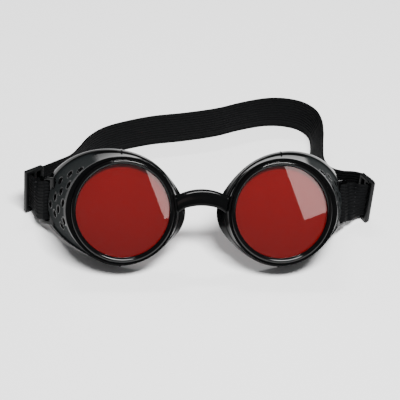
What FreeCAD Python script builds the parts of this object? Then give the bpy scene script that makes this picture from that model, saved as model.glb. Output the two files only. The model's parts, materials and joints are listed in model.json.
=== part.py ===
"""Welding goggles with round screw-in lenses, vented side shields and an elastic head strap.

Every part is designed in the worn frame and laid down in the resting frame, both in millimetres.
Worn frame: X across the face, Y from the front to the head, Z up, lens fronts near Y = 0.
Resting frame: +Z up, Z = 0 is the surface that the goggles lie on. The frame leans back on its
rear rims, so that the lenses look forwards along -Y and up, and the strap stands on its edge behind.
The left side is the -X side.
"""

import FreeCAD
import Part
import math
import os
from FreeCAD import Vector

# ---- driving dimensions of the frame moulding (worn frame) ----
lens_spacing = 80.0          # between the two lens axes
collar_radius = 27.1         # front collar of a cup
collar_front = 0.5           # depth of the collar's front face
wall = 2.2                   # wall of a cup
temple_step = 0.12           # share of the temple's flare that the cup has at its very front
rim_width = 4.2              # raised band along the rear edge
rim_proud_temple = 0.9       # how far the band stands out at the temple
rim_proud_nose = 0.25        # and at the nose
face_radius = 95.0           # plan curve of the rear edge, which follows the face
face_centre_x = 12.0
face_front = 8.5             # depth of that curve where it is nearest the lenses
loft_depths = (0.5, 4.0, 8.0, 13.0, 19.0, 26.0, 33.0, 39.0, 47.0)
section_points = 40

# Outline of the rear edge: a circle with lobes (direction, height, spread above, spread below)
rim_base_radius = 28.2
rim_lobes = (
    (0.0, 11.4, 64.0, 38.0),     # towards the temple
    (185.0, 4.0, 28.0, 28.0),    # towards the nose
    (275.0, 1.2, 25.0, 25.0),    # under the eye
)

# ---- lens seat ----
socket_radius = 26.05        # threaded socket that the lens ring screws into
socket_depth = 5.7
eye_radius = 23.2            # clear opening behind the lenses
ledge_back = 7.8             # back of the ledge that the gasket lies on
lens_radius = 24.9
ring_radius = 25.98
ring_inner_radius = 23.4
ring_front = -0.9
skirt_inner_radius = 25.15
skirt_end = 4.2
clear_lens_front = 1.2
clear_lens_thickness = 1.5
tinted_lens_thickness = 2.0
lens_gap = 0.05              # between the pieces of the lens stack

# ---- vent holes: depth behind the collar and directions round the lens axis ----
vent_radius = 1.6
vent_rows = (
    (5.6, (43.0, 24.7, 6.3, -11.5)),
    (12.3, (33.3, 15.5, -1.1, -17.3)),
    (18.8, (23.4, 8.4, -6.3)),
    (24.9, (16.9, 1.0)),
)
vent_forward_slope = 0.36

# ---- strap lug at each temple: two slanted faces, a slot and the bar behind the slot ----
lug_height_centre = 1.7
lug_half_height = 12.2
slot_half_height = 10.5
slot_front = 28.7
bar_front = 32.2
bar_back = 37.0
bar_outer_x = 78.1           # outer face of the bar at its front edge
bar_slope = 0.6              # outward travel of the lug's faces per unit of depth
bar_thickness_x = 3.1
lug_front = 25.0

# ---- nose bridge ----
bridge_half_width = 15.0
bridge_top = 10.9
bridge_thickness = 8.4
bridge_drop = 4.6            # fall of the arch from its middle to its ends
bridge_front = 2.6
bridge_back = 7.6

# ---- face seal ----
seal_thickness = 1.5

# ---- resting pose ----
lean_deg = 35.0              # how far the frame leans back
lens_height = 32.663         # height of the lens centres above the surface

# ---- strap and sliders (resting frame, plan positions before the origin is moved) ----
strap_width = 20.0
strap_thickness = 1.2
strap_clearance = 0.3
slider_height = 25.0
slider_thickness = 2.6
slider_upright = 2.1
slider_slot = 2.4
slider_middle = 1.9
slider_window = 21.2
slider_level = 13.1          # height of the sliders' centres
fold_radius = 1.6
slider_lean = 0.1            # backward lean of the sliders
stitch_count = 7
stitch_spacing = 2.6
stitch_radius = 0.3
fold_end_shares = (0.42, 0.33, 0.24, 0.15)  # where the strap's folded end lies along the run
strap_twist_start = 0.15     # shares of the run from lug to slider in which the strap untwists
strap_twist_length = 0.4

OUT = "parts"


def lobe(angle, direction, height, spread_above, spread_below):
    """Return one lobe's share of the rim radius at an angle in degrees."""
    away = (angle - direction + 180.0) % 360.0 - 180.0
    spread = spread_above if away > 0.0 else spread_below
    return height * math.exp(-((away / spread) ** 2))


def rim_outline(angle):
    """Radius of the rear edge about the lens axis; 0 degrees points to the temple, 90 up."""
    return rim_base_radius + sum(lobe(angle, *item) for item in rim_lobes)


def temple_share(angle):
    """1 towards the temple, 0 towards the nose."""
    return (1.0 + math.cos(math.radians(angle))) / 2.0


def rim_proud(angle):
    """How far the rear band stands out of the cup's wall."""
    return rim_proud_nose + (rim_proud_temple - rim_proud_nose) * temple_share(angle)


def face_depth(x):
    """Depth of the rear edge at a distance x from the middle of the face."""
    across = min(abs(x - face_centre_x), face_radius - 1.0)
    return face_front + face_radius - math.sqrt(face_radius ** 2 - across ** 2)


def wall_radius(angle, depth):
    """Outer radius of a cup's wall at an angle and a depth."""
    edge = rim_outline(angle) - rim_proud(angle)
    edge_x = lens_spacing / 2.0 + edge * math.cos(math.radians(angle))
    share = min((depth - collar_front) / (face_depth(edge_x) - collar_front), 1.08)
    share = max(share, 0.0)
    nose_flare = share ** 1.5
    temple_flare = temple_step + (1.0 - temple_step) * share
    weight = temple_share(angle)
    flare = weight * temple_flare + (1.0 - weight) * nose_flare
    return collar_radius + (edge - collar_radius) * flare


def section_wire(depth, offset):
    """Closed section of a cup across the lens axis, moved outwards by offset(angle)."""
    points = []
    for index in range(section_points):
        angle = 360.0 * index / section_points
        radius = wall_radius(angle, depth) + offset(angle)
        x = lens_spacing / 2.0 + radius * math.cos(math.radians(angle))
        z = radius * math.sin(math.radians(angle))
        points.append(Vector(x, depth, z))
    curve = Part.BSplineCurve()
    curve.interpolate(Points=points, PeriodicFlag=True)
    return Part.Wire([curve.toShape()])


def cup_loft(offset, first_depth):
    """Solid between the cup's sections from first_depth to well behind the rear edge."""
    depths = [first_depth] + [depth for depth in loft_depths if depth > first_depth + 0.5]
    return Part.makeLoft([section_wire(depth, offset) for depth in depths], True, False)


def head_cylinder(shift):
    """Upright cylinder standing for the face, moved towards the head by shift."""
    centre = Vector(face_centre_x, face_front + face_radius + shift, -60.0)
    return Part.makeCylinder(face_radius, 120.0, centre, Vector(0, 0, 1))


def lens_cylinder(radius, front, back):
    """Cylinder about the right lens axis between two depths."""
    centre = Vector(lens_spacing / 2.0, front, 0)
    return Part.makeCylinder(radius, back - front, centre, Vector(0, 1, 0))


def lug_block():
    """Straight-sided block at the temple that the strap slot is cut through."""
    slant = bar_slope * (lug_front - bar_front)
    back = bar_slope * (bar_back - bar_front)
    outer_front = bar_outer_x + slant
    outer_back = bar_outer_x + back
    corners = [
        (outer_front, lug_front),
        (outer_back, bar_back),
        (outer_back - bar_thickness_x, bar_back),
        (outer_front - bar_thickness_x, lug_front),
    ]
    low = lug_height_centre - lug_half_height
    points = [Vector(x, y, low) for x, y in corners]
    face = Part.Face(Part.makePolygon(points + points[:1]))
    return face.extrude(Vector(0, 0, 2.0 * lug_half_height))


def vent_cutters():
    """Cylinders for the vent holes of the right side shield, square to its wall."""
    cutters = []
    for depth, angles in vent_rows:
        for angle in angles:
            radius = wall_radius(angle, depth)
            out_x = math.cos(math.radians(angle))
            out_z = math.sin(math.radians(angle))
            direction = Vector(out_x, -vent_forward_slope, out_z)
            direction.normalize()
            place = Vector(lens_spacing / 2.0 + radius * out_x, depth, radius * out_z)
            start = place - direction * 3.4
            cutters.append(Part.makeCylinder(vent_radius, 7.0, start, direction))
    return cutters


def right_cup():
    """Right half of the moulding: cup, rear band and lug, with every opening cut."""
    shell = cup_loft(lambda angle: 0.0, collar_front).cut(head_cylinder(0.0))
    band = cup_loft(rim_proud, collar_front)
    band = band.common(head_cylinder(-rim_width)).cut(head_cylinder(0.0))
    lug = lug_block().cut(head_cylinder(0.0))
    behind = Part.makeBox(120.0, 30.0, 160.0, Vector(0, bar_back, -80.0))
    half = shell.fuse([band, lug]).cut(behind)
    half = half.cut(cup_loft(lambda angle: -wall, ledge_back))
    half = half.cut(lens_cylinder(socket_radius, -2.0, socket_depth))
    half = half.cut(lens_cylinder(eye_radius, 0.0, ledge_back + 4.0))
    low = lug_height_centre - slot_half_height
    slot = Part.makeBox(
        16.0, bar_front - slot_front, 2.0 * slot_half_height, Vector(70.0, slot_front, low)
    )
    return half.cut([slot] + vent_cutters())


def bridge():
    """Arched nose bridge between the two cups."""
    def arch(top):
        ends = top - bridge_drop
        return Part.Arc(
            Vector(-bridge_half_width, bridge_front, ends),
            Vector(0, bridge_front, top),
            Vector(bridge_half_width, bridge_front, ends),
        ).toShape()
    upper = arch(bridge_top)
    lower = arch(bridge_top - bridge_thickness)
    sides = []
    for end in (0, 1):
        sides.append(Part.makeLine(upper.Vertexes[end].Point, lower.Vertexes[end].Point))
    outline = Part.Wire(Part.__sortEdges__([upper, sides[0], lower, sides[1]]))
    solid = Part.Face(outline).extrude(Vector(0, bridge_back - bridge_front, 0))
    inside = cup_loft(lambda angle: -wall / 2.0, collar_front)
    return solid.cut([inside, mirrored(inside)])


def mirrored(shape):
    """The same shape on the other side of the face."""
    return shape.mirror(Vector(0, 0, 0), Vector(1, 0, 0))


def frame_moulding():
    """One-piece moulding: two cups, side shields, lugs and the nose bridge."""
    half = right_cup()
    whole = half.fuse([mirrored(half), bridge()])
    return whole.removeSplitter()


def revolved(profile):
    """Turn a closed (radius, depth) profile about the right lens axis."""
    centre_x = lens_spacing / 2.0
    return Part.Face(profile).revolve(Vector(centre_x, 0, 0), Vector(0, 1, 0), 360.0)


def lens_ring():
    """Screw-in ring: rounded lip over the lens edge and a skirt round the lens stack."""
    centre_x = lens_spacing / 2.0

    def at(radius, depth):
        return Vector(centre_x + radius, depth, 0)

    lip_back = clear_lens_front
    middle = (ring_inner_radius + ring_radius) / 2.0
    shoulder = 0.35
    edges = [
        Part.makeLine(at(ring_inner_radius, lip_back), at(ring_inner_radius, shoulder)),
        Part.Arc(
            at(ring_inner_radius, shoulder), at(middle, ring_front), at(ring_radius, shoulder)
        ).toShape(),
        Part.makeLine(at(ring_radius, shoulder), at(ring_radius, skirt_end)),
        Part.makeLine(at(ring_radius, skirt_end), at(skirt_inner_radius, skirt_end)),
        Part.makeLine(at(skirt_inner_radius, skirt_end), at(skirt_inner_radius, lip_back)),
        Part.makeLine(at(skirt_inner_radius, lip_back), at(ring_inner_radius, lip_back)),
    ]
    return revolved(Part.Wire(edges))


def disc(front, thickness):
    """A flat round lens with a small chamfer on both edges."""
    solid = lens_cylinder(lens_radius, front, front + thickness)
    rims = [edge for edge in solid.Edges if len(edge.Vertexes) == 1 and edge.Closed]
    return solid.makeChamfer(0.2, rims)


def clear_lens():
    """Clear cover lens, at the front of the stack."""
    return disc(clear_lens_front + lens_gap, clear_lens_thickness - lens_gap)


def tinted_lens():
    """Tinted filter lens, behind the cover lens."""
    front = clear_lens_front + clear_lens_thickness + lens_gap
    return disc(front, tinted_lens_thickness - lens_gap)


def lens_gasket():
    """Flat washer between the filter lens and the ledge."""
    front = clear_lens_front + clear_lens_thickness + tinted_lens_thickness + lens_gap
    back = socket_depth - lens_gap
    return lens_cylinder(lens_radius, front, back).cut(lens_cylinder(ring_inner_radius, front, back))


def face_seal():
    """Soft edging along the rear edge of the cup, open at the lug."""
    strip = cup_loft(lambda angle: 0.15, collar_front)
    strip = strip.common(head_cylinder(0.0)).cut(head_cylinder(seal_thickness))
    strip = strip.cut(cup_loft(lambda angle: -wall + 0.2, ledge_back - 1.0))
    low = lug_height_centre - lug_half_height - 1.0
    gap = Part.makeBox(30.0, 60.0, 2.0 * lug_half_height + 2.0, Vector(70.0, 20.0, low))
    return strip.cut(gap)


def to_rest(point):
    """Carry a point from the worn frame to the resting frame."""
    lean = math.radians(lean_deg)
    y = point.y * math.cos(lean) + point.z * math.sin(lean)
    z = lens_height - point.y * math.sin(lean) + point.z * math.cos(lean)
    return Vector(point.x, y, z)


def laid_down(shape):
    """Carry a shape from the worn frame to the resting frame."""
    placed = shape.copy()
    placed.rotate(Vector(0, 0, 0), Vector(1, 0, 0), -lean_deg)
    placed.translate(Vector(0, 0, lens_height))
    return placed


class Side:
    """What differs between the two ends of the strap, in the resting frame.

    sign is -1 for the left and +1 for the right; slot is the plan place where the strap passes
    the slider, along the direction of the slider's width; travel is how far the slider slides.
    """

    def __init__(self, sign, slot, along, travel, band):
        self.sign = sign
        self.slot = Vector(slot[0], slot[1], slider_level)
        self.along = Vector(along[0], along[1], 0)
        self.along.normalize()
        self.travel = travel
        self.band = band

    def bar_corner(self, x, y):
        """A corner of the lug's bar at mid height, in the resting frame."""
        return to_rest(Vector(self.sign * x, y, lug_height_centre))


LEFT = Side(-1, (-85.8, 38.4), (0.81, 0.58), 2.5, (-80.0, 45.6))
RIGHT = Side(1, (92.3, 33.2), (-0.42, 0.907), 2.5, (91.5, 42.0))

# Plan route of the loose band behind the goggles, from the left slider to the right one, with the
# outward lean of the strap's upper edge at each place
band_route = (
    (-72.0, 51.0, 0.0), (-64.5, 57.5, 0.0), (-59.5, 66.0, 0.0), (-54.5, 75.0, 0.0),
    (-47.5, 82.0, 0.0), (-38.0, 87.2, 0.0), (-20.0, 93.5, 0.0), (0.0, 97.4, 0.0),
    (18.0, 102.0, 0.0), (33.0, 108.0, 0.0), (47.0, 112.0, 0.0), (58.0, 112.0, 0.0),
    (67.0, 108.7, 0.02), (72.6, 102.0, 0.08), (73.8, 93.0, 0.18), (72.4, 82.0, 0.26),
    (70.8, 70.0, 0.22), (70.6, 59.0, 0.12), (73.6, 50.6, 0.06), (79.5, 46.6, 0.03), (86.5, 44.9, 0.0),
)


def loop_round_bar(side):
    """Centre line of the strap round the lug's bar, in the resting frame, ending on the outside."""
    reach = strap_clearance + strap_thickness / 2.0
    slope = math.atan2(bar_slope, 1.0)
    outward = (math.cos(slope), -math.sin(slope))
    outer = bar_outer_x
    inner = outer - bar_thickness_x
    depth = bar_back - bar_front
    points = [(inner - reach * outward[0] + bar_slope * depth, bar_back - reach * outward[1])]
    points.append((inner - reach * outward[0], bar_front - reach * outward[1]))
    half_turn = math.degrees(slope)
    for step in range(1, 6):
        angle = math.radians(180.0 - half_turn + step * (90.0 + half_turn) / 5.0)
        points.append((inner + reach * math.cos(angle), bar_front + reach * math.sin(angle)))
    points.append(((inner + outer) / 2.0, bar_front - reach))
    for step in range(6):
        angle = math.radians(-90.0 + step * (90.0 - half_turn) / 5.0)
        points.append((outer + reach * math.cos(angle), bar_front + reach * math.sin(angle)))
    points.append((outer + reach * outward[0] + bar_slope * depth * 0.9,
                   bar_front + reach * outward[1] + depth * 0.9))
    return [side.bar_corner(x, y) for x, y in points]


def upright(lean_x, lean_y):
    """Unit vector of the strap's width for a given lean of its upper edge."""
    vector = Vector(lean_x, lean_y, 1.0)
    vector.normalize()
    return vector


def fold_points(start, heading, finish_heading, centre_side):
    """Arc of the strap's fold: from start, turning from one heading to another."""
    first = math.atan2(heading.y, heading.x)
    last = math.atan2(finish_heading.y, finish_heading.x)
    turn = (last - first) % (2.0 * math.pi)
    if centre_side < 0:
        turn -= 2.0 * math.pi
    normal = Vector(-heading.y * centre_side, heading.x * centre_side, 0)
    centre = start + normal * fold_radius
    points = []
    for step in range(7):
        angle = math.atan2(-normal.y, -normal.x) + turn * step / 6.0
        points.append(centre + Vector(math.cos(angle), math.sin(angle), 0) * fold_radius)
    return points


class Run:
    """The straight stretch of strap from the lug's bar to the slider."""

    def __init__(self, side):
        self.start = loop_round_bar(side)[-1]
        self.heading = side.slot - self.start
        self.length = self.heading.Length
        self.heading.normalize()
        self.sign = side.sign

    def width(self, share):
        """Width direction: along the bar at the lug, along the slider further out."""
        turned = min(1.0, max(0.0, share - strap_twist_start) / strap_twist_length)
        at_bar = to_rest(Vector(0, 0, 1)) - to_rest(Vector(0, 0, 0))
        mixed = at_bar * (1.0 - turned) + upright(0.0, slider_lean) * turned
        mixed.normalize()
        return mixed

    def inward(self, share):
        """Direction through the strap, from its outer layer towards the folded end."""
        normal = self.width(share).cross(self.heading) * self.sign
        normal.normalize()
        return normal

    def place(self, share, offset=0.0):
        """Point on the outer layer's centre line, moved inwards by an offset."""
        along = self.start + self.heading * (self.length * share)
        return along + self.inward(share) * offset


def end_stations(side):
    """Stations (centre, width direction) of one strap end, from its cut end to past the slider."""
    run = Run(side)
    at_bar = run.width(0.0)
    layers_apart = strap_thickness + strap_clearance
    stations = [(run.place(share, layers_apart), run.width(share)) for share in fold_end_shares]
    stations.append((side.bar_corner(bar_outer_x + 1.4, bar_back + 1.4), at_bar))
    stations += [(point, at_bar) for point in loop_round_bar(side)]
    stations += [(run.place(share), run.width(share)) for share in (0.15, 0.3, 0.45, 0.7, 1.0)]
    clear = side.slot + run.heading * (slider_thickness / 2.0 + 0.3)
    flat = Vector(run.heading.x, run.heading.y, 0)
    flat.normalize()
    at_slider = upright(0.0, slider_lean)
    arc = fold_points(clear, flat, side.along, side.sign)
    stations += [(point, at_slider) for point in arc]
    stations.append((Vector(side.band[0], side.band[1], slider_level - 0.6), upright(0.0, 0.05)))
    return stations


def strap_stations():
    """All stations of the strap from the left cut end to the right cut end."""
    stations = end_stations(LEFT)
    curve = Part.BSplineCurve()
    first = stations[-1][0]
    closing = end_stations(RIGHT)[::-1]
    last = closing[0][0]
    points = [Vector(first.x, first.y, 0)]
    leans = [0.0]
    for x, y, lean in band_route:
        points.append(Vector(x, y, 0))
        leans.append(lean)
    points.append(Vector(last.x, last.y, 0))
    leans.append(0.0)
    count = len(points)
    curve.interpolate(Points=points, Parameters=[float(index) for index in range(count)])
    steps = 3 * (count - 1)
    for step in range(1, steps):
        position = step / 3.0
        place = curve.value(position)
        index = min(int(position), count - 2)
        share = position - index
        lean = leans[index] * (1.0 - share) + leans[index + 1] * share
        width = upright(lean, 0.0)
        near_end = max(0.0, 1.0 - min(position, count - 1 - position) / 3.0)
        level = strap_width / 2.0 * width.z + strap_thickness / 2.0 * abs(width.x)
        level += near_end * (first.z - strap_width / 2.0)
        stations.append((Vector(place.x, place.y, level), width))
    return stations + closing


def ribbon(stations, width, thickness):
    """Solid strip through stations of (centre, width direction), lofted from flat sections."""
    wires = []
    for index, (centre, across) in enumerate(stations):
        before = stations[max(index - 1, 0)][0]
        after = stations[min(index + 1, len(stations) - 1)][0]
        half_normal = (after - before).cross(across).normalize() * (thickness / 2.0)
        half_width = across * (width / 2.0)
        corners = [
            centre + half_width + half_normal,
            centre + half_width - half_normal,
            centre - half_width - half_normal,
            centre - half_width + half_normal,
        ]
        wires.append(Part.makePolygon(corners + corners[:1]))
    strip = Part.makeLoft(wires, True, True)
    if strip.Volume < 0.0:
        strip.reverse()
    return strip


def elastic_strap():
    """The head strap: one elastic band from end to end, looped round both lug bars."""
    stations = strap_stations()
    return ribbon(stations, strap_width, strap_thickness)


def slider_frame(side):
    """Directions of one slider: along its width, through its thickness and up."""
    up = upright(0.0, slider_lean)
    along = side.along
    through = up.cross(along)
    through.normalize()
    along = through.cross(up)
    return along, through, up


def strap_slider(side):
    """Flat slider with a window for the strap on each side of a middle bar."""
    total = 2.0 * slider_upright + 2.0 * slider_slot + slider_middle
    plate = Part.makeBox(
        total, slider_thickness, slider_height,
        Vector(-slider_upright - slider_slot / 2.0, -slider_thickness / 2.0, -slider_height / 2.0),
    )
    plate = plate.makeFillet(0.7, plate.Edges)
    for start in (-slider_slot / 2.0, slider_slot / 2.0 + slider_middle):
        window = Part.makeBox(
            slider_slot, slider_thickness + 2.0, slider_window,
            Vector(start, -slider_thickness / 2.0 - 1.0, -slider_window / 2.0),
        )
        plate = plate.cut(window)
    along, through, up = slider_frame(side)
    place = FreeCAD.Placement(side.slot, FreeCAD.Rotation(along, through, up, "ZXY"))
    plate.Placement = place
    return plate


def strap_stitching(side):
    """Bar tack that closes the strap's loop round the lug: short stitches through both layers."""
    run = Run(side)
    share = fold_end_shares[1]
    inward = run.inward(share)
    head = 0.2
    stitches = []
    for index in range(stitch_count):
        level = (index - (stitch_count - 1) / 2.0) * stitch_spacing
        middle = run.place(share) + run.width(share) * level
        start = middle - inward * (strap_thickness / 2.0 + head)
        length = 2.0 * strap_thickness + strap_clearance + 2.0 * head
        stitches.append(Part.makeCylinder(stitch_radius, length, start, inward))
    return Part.Compound(stitches)


def build():
    """Make every node in the resting frame, before the origin is moved."""
    nodes = {"goggle_frame": laid_down(frame_moulding())}
    makers = (
        ("lens_ring", lens_ring),
        ("clear_lens", clear_lens),
        ("tinted_lens", tinted_lens),
        ("lens_gasket", lens_gasket),
        ("face_seal", face_seal),
    )
    for name, make in makers:
        right = make()
        nodes["right_" + name] = laid_down(right)
        nodes["left_" + name] = laid_down(mirrored(right))
    nodes["elastic_strap"] = elastic_strap()
    for name, side in (("left", LEFT), ("right", RIGHT)):
        nodes[name + "_strap_slider"] = strap_slider(side)
        nodes[name + "_strap_stitching"] = strap_stitching(side)
    return nodes


def centred(nodes):
    """Move every node so that the origin is under the middle of the whole; return the move."""
    whole = FreeCAD.BoundBox()
    for shape in nodes.values():
        whole.add(shape.optimalBoundingBox(False))
    move = Vector(-whole.Center.x, -whole.Center.y, 0)
    for shape in nodes.values():
        shape.translate(move)
    return move


def main():
    """Write one STEP file per node."""
    os.makedirs(OUT, exist_ok=True)
    nodes = build()
    move = centred(nodes)
    print("moved by %.4f %.4f" % (move.x, move.y))
    for name, shape in nodes.items():
        solids = len(shape.Solids)
        print("%-24s solids %2d volume %9.2f valid %s" % (name, solids, shape.Volume, shape.isValid()))
        shape.exportStep(os.path.join(OUT, name + ".step"))


main()
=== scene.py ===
"""Looks of the welding goggles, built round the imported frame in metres.

Pieces of the moulding are shaped in the worn frame, in millimetres: X across the face, Y from the
lens fronts to the head, Z up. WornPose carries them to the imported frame, where the goggles lie back
on their rear rims. The strap's route is given in the lying pose, in millimetres.
"""

import json
import logging
import math
from dataclasses import dataclass, field
from enum import Enum
from typing import Callable, Sequence

import bmesh
import bpy
from mathutils import Matrix, Vector


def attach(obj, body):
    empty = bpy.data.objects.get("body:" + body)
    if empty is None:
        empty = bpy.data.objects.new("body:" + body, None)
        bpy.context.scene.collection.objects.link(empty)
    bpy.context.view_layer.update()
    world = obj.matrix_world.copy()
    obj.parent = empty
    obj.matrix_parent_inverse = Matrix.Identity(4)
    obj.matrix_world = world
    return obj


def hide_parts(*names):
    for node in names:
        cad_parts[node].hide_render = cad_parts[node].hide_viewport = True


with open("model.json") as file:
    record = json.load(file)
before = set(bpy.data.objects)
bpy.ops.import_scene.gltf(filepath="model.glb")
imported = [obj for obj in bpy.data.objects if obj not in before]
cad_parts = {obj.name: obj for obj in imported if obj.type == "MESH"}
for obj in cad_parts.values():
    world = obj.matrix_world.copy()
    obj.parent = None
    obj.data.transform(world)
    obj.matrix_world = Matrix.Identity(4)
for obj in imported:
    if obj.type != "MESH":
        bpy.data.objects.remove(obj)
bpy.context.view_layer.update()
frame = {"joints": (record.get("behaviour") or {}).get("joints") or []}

LOG = logging.getLogger("goggles")
MM = 0.001
TURN = 2.0 * math.pi


class Hand(Enum):
    """Which side of the goggles a piece belongs to, as the sign of its X."""

    LEFT = -1
    RIGHT = 1

    @property
    def prefix(self) -> str:
        """Start of the piece's name."""
        return "left_" if self is Hand.LEFT else "right_"


class Weld(Enum):
    """How the last loop of a swept piece ends."""

    CAPS = "caps"
    TO_START = "to_start"
    POLES = "poles"


# ---------------------------------------------------------------- modelling helpers


def select_only(piece: bpy.types.Object) -> None:
    """Make one object the only selected and active one, in object mode.

    Args:
        piece: the object to work on.
    """
    if bpy.context.mode != "OBJECT":
        bpy.ops.object.mode_set(mode="OBJECT")
    bpy.ops.object.select_all(action="DESELECT")
    piece.select_set(True)
    bpy.context.view_layer.objects.active = piece


def deselect_all() -> None:
    """Leave nothing selected, in object mode."""
    if bpy.context.mode != "OBJECT":
        bpy.ops.object.mode_set(mode="OBJECT")
    bpy.ops.object.select_all(action="DESELECT")


def swept(
    name: str,
    sides: int,
    stations: int,
    place: Callable[[int, float], Sequence[float]],
    weld: Weld,
    marks: dict[str, Callable[[int, float], float]] | None = None,
) -> bpy.types.Object:
    """Extrude a loop of edges from station to station.

    Args:
        name: name of the piece.
        sides: corners in the loop.
        stations: how many times the loop is set down.
        place: gives a corner's place from the station's number and the corner's turn in radians.
        weld: how the ends are closed.
        marks: values kept on every corner, by name, from the same two arguments.

    Returns:
        The piece, in object mode, with its normals outwards.
    """
    deselect_all()
    bpy.ops.mesh.primitive_circle_add(vertices=sides, radius=1.0, fill_type="NOTHING")
    piece = bpy.context.object
    piece.name = name
    piece.data.name = name
    bpy.ops.object.mode_set(mode="EDIT")
    bpy.ops.mesh.select_mode(type="VERT")
    bpy.ops.mesh.select_all(action="SELECT")
    shell = bmesh.from_edit_mesh(piece.data)
    turn_of = shell.verts.layers.float.new("turn")
    station_of = shell.verts.layers.int.new("station")
    for vert in shell.verts:
        vert[turn_of] = math.atan2(vert.co.y, vert.co.x) % TURN
    mark_names = list(marks or {})
    for mark in mark_names:
        shell.verts.layers.float.new(mark)
    for station in range(stations):
        if station:
            bpy.ops.mesh.extrude_edges_move()
        shell = bmesh.from_edit_mesh(piece.data)
        turn_of = shell.verts.layers.float["turn"]
        station_of = shell.verts.layers.int["station"]
        for vert in shell.verts:
            if vert.select:
                turn = vert[turn_of]
                vert.co = place(station, turn)
                vert[station_of] = station
                for mark in mark_names:
                    vert[shell.verts.layers.float[mark]] = marks[mark](station, turn)
        bmesh.update_edit_mesh(piece.data)
    if weld is Weld.CAPS:
        for end in (0, stations - 1):
            shell = bmesh.from_edit_mesh(piece.data)
            station_of = shell.verts.layers.int["station"]
            bpy.ops.mesh.select_all(action="DESELECT")
            for vert in shell.verts:
                vert.select = vert[station_of] == end
            shell.select_flush_mode()
            bmesh.update_edit_mesh(piece.data)
            bpy.ops.mesh.edge_face_add()
    bpy.ops.mesh.select_all(action="SELECT")
    bpy.ops.mesh.remove_doubles(threshold=1e-5)
    bpy.ops.mesh.normals_make_consistent(inside=False)
    bpy.ops.object.mode_set(mode="OBJECT")
    return piece


def apply_modifier(piece: bpy.types.Object, kind: str, **settings: object) -> None:
    """Add one modifier and apply it.

    Args:
        piece: the object to finish.
        kind: Blender's modifier type.
        settings: its settings.
    """
    select_only(piece)
    modifier = piece.modifiers.new(kind.lower(), kind)
    for key, value in settings.items():
        setattr(modifier, key, value)
    bpy.ops.object.modifier_apply(modifier=modifier.name)


def cut(piece: bpy.types.Object, cutter: bpy.types.Object) -> None:
    """Take one closed shape out of another and remove the cutter.

    Args:
        piece: the object that is cut.
        cutter: the shape that is taken away.
    """
    apply_modifier(piece, "BOOLEAN", object=cutter, operation="DIFFERENCE", solver="EXACT")
    bpy.data.objects.remove(cutter)


def joined(name: str, parts: Sequence[bpy.types.Object]) -> bpy.types.Object:
    """Join several objects into one.

    Args:
        name: name of the result.
        parts: the objects, of which the first one stays.

    Returns:
        The joined object.
    """
    select_only(parts[0])
    for part in parts[1:]:
        part.select_set(True)
    if len(parts) > 1:
        bpy.ops.object.join()
    parts[0].name = name
    parts[0].data.name = name
    return parts[0]


def block(low: Sequence[float], high: Sequence[float]) -> bpy.types.Object:
    """Add a box between two corners, its place in its mesh.

    Args:
        low: lowest corner.
        high: highest corner.

    Returns:
        The box.
    """
    deselect_all()
    middle = [(a + b) / 2.0 for a, b in zip(low, high)]
    size = [b - a for a, b in zip(low, high)]
    bpy.ops.mesh.primitive_cube_add(size=1.0, location=middle, scale=size)
    bpy.ops.object.transform_apply(location=True, rotation=True, scale=True)
    return bpy.context.object


def finish_shape(piece: bpy.types.Object, pose: Matrix, smooth_deg: float = 35.0) -> None:
    """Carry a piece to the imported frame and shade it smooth.

    Args:
        piece: the piece, modelled about the origin.
        pose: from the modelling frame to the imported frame.
        smooth_deg: edges sharper than this stay crisp.
    """
    piece.data.transform(pose)
    if pose.determinant() < 0.0:
        piece.data.flip_normals()
    select_only(piece)
    bpy.ops.object.shade_smooth_by_angle(angle=math.radians(smooth_deg))
    deselect_all()


def kept(piece: bpy.types.Object, body: str, slot: str, *nodes: str) -> bpy.types.Object:
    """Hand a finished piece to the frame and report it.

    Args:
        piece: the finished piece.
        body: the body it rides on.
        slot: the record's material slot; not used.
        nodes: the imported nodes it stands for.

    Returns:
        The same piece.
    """
    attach(piece, body)
    if nodes:
        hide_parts(*nodes)
    LOG.info("%s: %d faces on %s", piece.name, len(piece.data.polygons), body)
    return piece


# ---------------------------------------------------------------- shader helpers


class NodeBench:
    """Adds and links nodes in one tree."""

    def __init__(self, tree: bpy.types.NodeTree) -> None:
        """Take the tree to work in."""
        self.tree = tree

    def add(self, kind: str, values: dict | None = None, **settings: object) -> bpy.types.Node:
        """Add a node.

        Args:
            kind: Blender's node type.
            values: socket name or number to a value, or to a socket that is linked to it.
            settings: the node's own settings.

        Returns:
            The node.
        """
        node = self.tree.nodes.new(kind)
        for key, value in settings.items():
            setattr(node, key, value)
        for key, value in (values or {}).items():
            if isinstance(value, bpy.types.NodeSocket):
                self.tree.links.new(value, node.inputs[key])
            else:
                node.inputs[key].default_value = value
        return node

    def math(self, operation: str, first: object, second: object = 0.0) -> bpy.types.NodeSocket:
        """Result of a sum on two values or sockets."""
        node = self.add("ShaderNodeMath", {0: first, 1: second}, operation=operation)
        return node.outputs[0]

    def noise(self, place: bpy.types.NodeSocket, scale: float, detail: float) -> bpy.types.NodeSocket:
        """Soft noise over a place, from 0 to 1."""
        node = self.add("ShaderNodeTexNoise", {"Vector": place, "Scale": scale, "Detail": detail})
        return node.outputs["Fac"]

    def span(self, value: object, low: object, high: object) -> bpy.types.NodeSocket:
        """Value from 0 to 1 carried to the span from low to high."""
        values = {"Value": value, "To Min": low, "To Max": high}
        return self.add("ShaderNodeMapRange", values).outputs["Result"]

    def blend(self, share: object, first: object, second: object) -> bpy.types.NodeSocket:
        """Colour between two colours."""
        node = self.add("ShaderNodeMix", {0: share, 6: first, 7: second}, data_type="RGBA")
        return node.outputs[2]


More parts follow.
